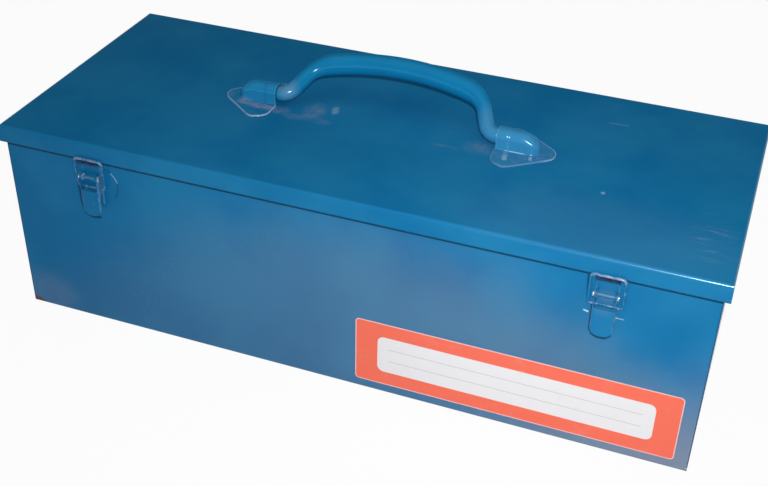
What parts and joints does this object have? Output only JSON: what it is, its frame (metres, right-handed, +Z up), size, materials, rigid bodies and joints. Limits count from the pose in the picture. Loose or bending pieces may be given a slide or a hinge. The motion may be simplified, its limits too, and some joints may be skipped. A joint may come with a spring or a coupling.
{
  "type": "tool case",
  "caption": "Long sheet-steel tool case with a hinged pan lid, toggle latches on the front, a folding tube handle on the lid and a plain label, for carrying a power tool.",
  "frame": {"origin": "centre of the underside of the case", "axes": "+X along the case to the right as seen from the front, -Y out of the front, +Z up"},
  "size_m": [0.52, 0.2255, 0.195],
  "materials": {
    "enamel": "glossy blue enamel with worn edges and scuffs",
    "bracket_enamel": "glossy blue enamel worn to bare metal along the flange edges",
    "handle_enamel": "glossy blue enamel, polished by hands",
    "latch_enamel": "blue enamel worn bright on the wire and folds",
    "pin_steel": "bare steel with a little rust",
    "label_film": "printed red-orange film with a white band"
  },
  "bodies": {
    "body": {"body_tray": "enamel", "end_panel_left": "enamel", "end_panel_right": "enamel", "front_label": "label_film", "hinge_left_body_leaf": "enamel", "hinge_left_pin": "pin_steel", "hinge_right_body_leaf": "enamel", "hinge_right_pin": "pin_steel", "latch_left_base": "latch_enamel", "latch_left_pin": "pin_steel", "latch_right_base": "latch_enamel", "latch_right_pin": "pin_steel"},
    "lid": {"lid_shell": "enamel", "handle_bracket_left": "bracket_enamel", "handle_bracket_right": "bracket_enamel", "hinge_left_lid_leaf": "enamel", "hinge_right_lid_leaf": "enamel", "latch_left_catch": "enamel", "latch_right_catch": "enamel"},
    "handle": {"handle_tube": "handle_enamel"},
    "lever_left": {"latch_left_lever": "latch_enamel"},
    "bail_left": {"latch_left_bail": "latch_enamel"},
    "lever_right": {"latch_right_lever": "latch_enamel"},
    "bail_right": {"latch_right_bail": "latch_enamel"}
  },
  "joints": [
    {"name": "lid_hinge", "type": "hinge", "parent": "body", "child": "lid", "pos_m": [0, 0.11, 0.14254], "axis": [-1, 0, 0], "range_deg": [0, 180]},
    {"name": "handle_fold", "type": "hinge", "parent": "lid", "child": "handle", "pos_m": [-0.0028, 0, 0.1668], "axis": [1, 0, 0], "range_deg": [-28, 148]},
    {"name": "lever_left_swing", "type": "hinge", "parent": "body", "child": "lever_left", "pos_m": [-0.186, -0.1097, 0.132], "axis": [-1, 0, 0], "range_deg": [0, 115]},
    {"name": "bail_left_swing", "type": "hinge", "parent": "lever_left", "child": "bail_left", "pos_m": [-0.186, -0.1087, 0.1237], "axis": [-1, 0, 0], "range_deg": [-138, 0]},
    {"name": "lever_right_swing", "type": "hinge", "parent": "body", "child": "lever_right", "pos_m": [0.186, -0.1097, 0.132], "axis": [-1, 0, 0], "range_deg": [0, 115]},
    {"name": "bail_right_swing", "type": "hinge", "parent": "lever_right", "child": "bail_right", "pos_m": [0.186, -0.1087, 0.1237], "axis": [-1, 0, 0], "range_deg": [-138, 0]}
  ],
  "couplings": [
    {"joint": "bail_left_swing", "follows": "lever_left_swing", "ratio": -1.2},
    {"joint": "bail_right_swing", "follows": "lever_right_swing", "ratio": -1.2}
  ]
}
